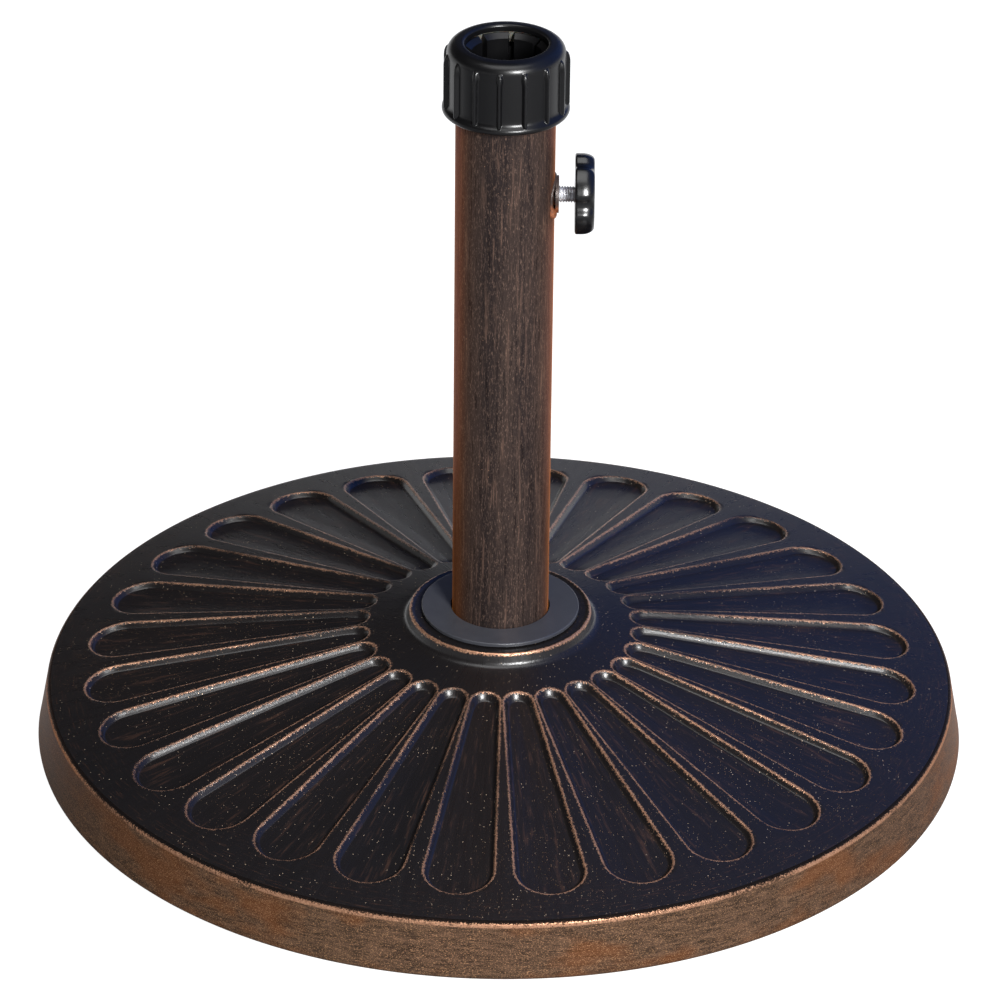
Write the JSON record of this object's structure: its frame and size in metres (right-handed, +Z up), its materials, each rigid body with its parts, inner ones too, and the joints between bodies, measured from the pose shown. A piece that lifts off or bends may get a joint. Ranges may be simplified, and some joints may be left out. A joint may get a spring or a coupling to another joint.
{
  "type": "parasol base",
  "caption": "Round cast parasol base with a fluted crown, an upright tube, a side clamp screw and a ribbed twist cap that takes a pole.",
  "frame": {"origin": "on the ground, at the centre of the round base, on the tube's axis", "axes": "+Z up along the tube, +X towards the clamp screw's knob"},
  "size_m": [0.4572, 0.4572, 0.3715],
  "materials": {
    "cast_bronze": "cast resin stone with a dark bronze paint, rubbed to copper on its edges",
    "tube_bronze": "brushed dark bronze paint on steel",
    "ring_paint": "smooth satin charcoal paint",
    "weld_paint": "bronze paint over a rough weld",
    "zinc_steel": "bright zinc plate",
    "gloss_black": "glossy black moulding",
    "satin_black": "satin black moulding",
    "nylon": "natural nylon",
    "rubber": "matt black rubber"
  },
  "bodies": {
    "stand": {"base_plate": "cast_bronze", "foot_pads": "rubber", "flange_gasket": "rubber", "flange_ring": "ring_paint", "tube": "tube_bronze", "tube_foot_plate": "zinc_steel", "foot_weld": "weld_paint", "foot_nut": "zinc_steel", "anchor_washer": "zinc_steel", "spring_washer": "zinc_steel", "anchor_bolt": "zinc_steel", "clamp_nut": "weld_paint", "nut_weld": "weld_paint", "threaded_collar": "satin_black", "collar_screws": "zinc_steel", "pole_sleeve": "satin_black"},
    "clamp_tip": {"clamp_shoe": "nylon"},
    "thumb_screw": {"clamp_stud": "zinc_steel", "knob": "gloss_black", "knob_plug": "gloss_black"},
    "cap_wedge": {"wedge_ring": "nylon"},
    "cap": {"twist_cap": "satin_black"}
  },
  "joints": [
    {"name": "clamp_travel", "type": "slide", "parent": "stand", "child": "clamp_tip", "axis": [1, 0, 0], "range_m": [-0.0063, 0.0013]},
    {"name": "clamp_turn", "type": "hinge", "parent": "clamp_tip", "child": "thumb_screw", "pos_m": [0.03, 0, 0.2934], "axis": [1, 0, 0], "range_deg": [-1800, 360]},
    {"name": "cap_travel", "type": "slide", "parent": "stand", "child": "cap_wedge", "axis": [0, 0, 1], "range_m": [0, 0.0091]},
    {"name": "cap_turn", "type": "hinge", "parent": "cap_wedge", "child": "cap", "pos_m": [0, 0, 0.355], "axis": [0, 0, 1], "range_deg": [0, 1080]}
  ],
  "couplings": [
    {"joint": "clamp_travel", "follows": "clamp_turn", "m_per_rad": 0.00019894},
    {"joint": "cap_travel", "follows": "cap_turn", "m_per_rad": 0.00047746}
  ]
}
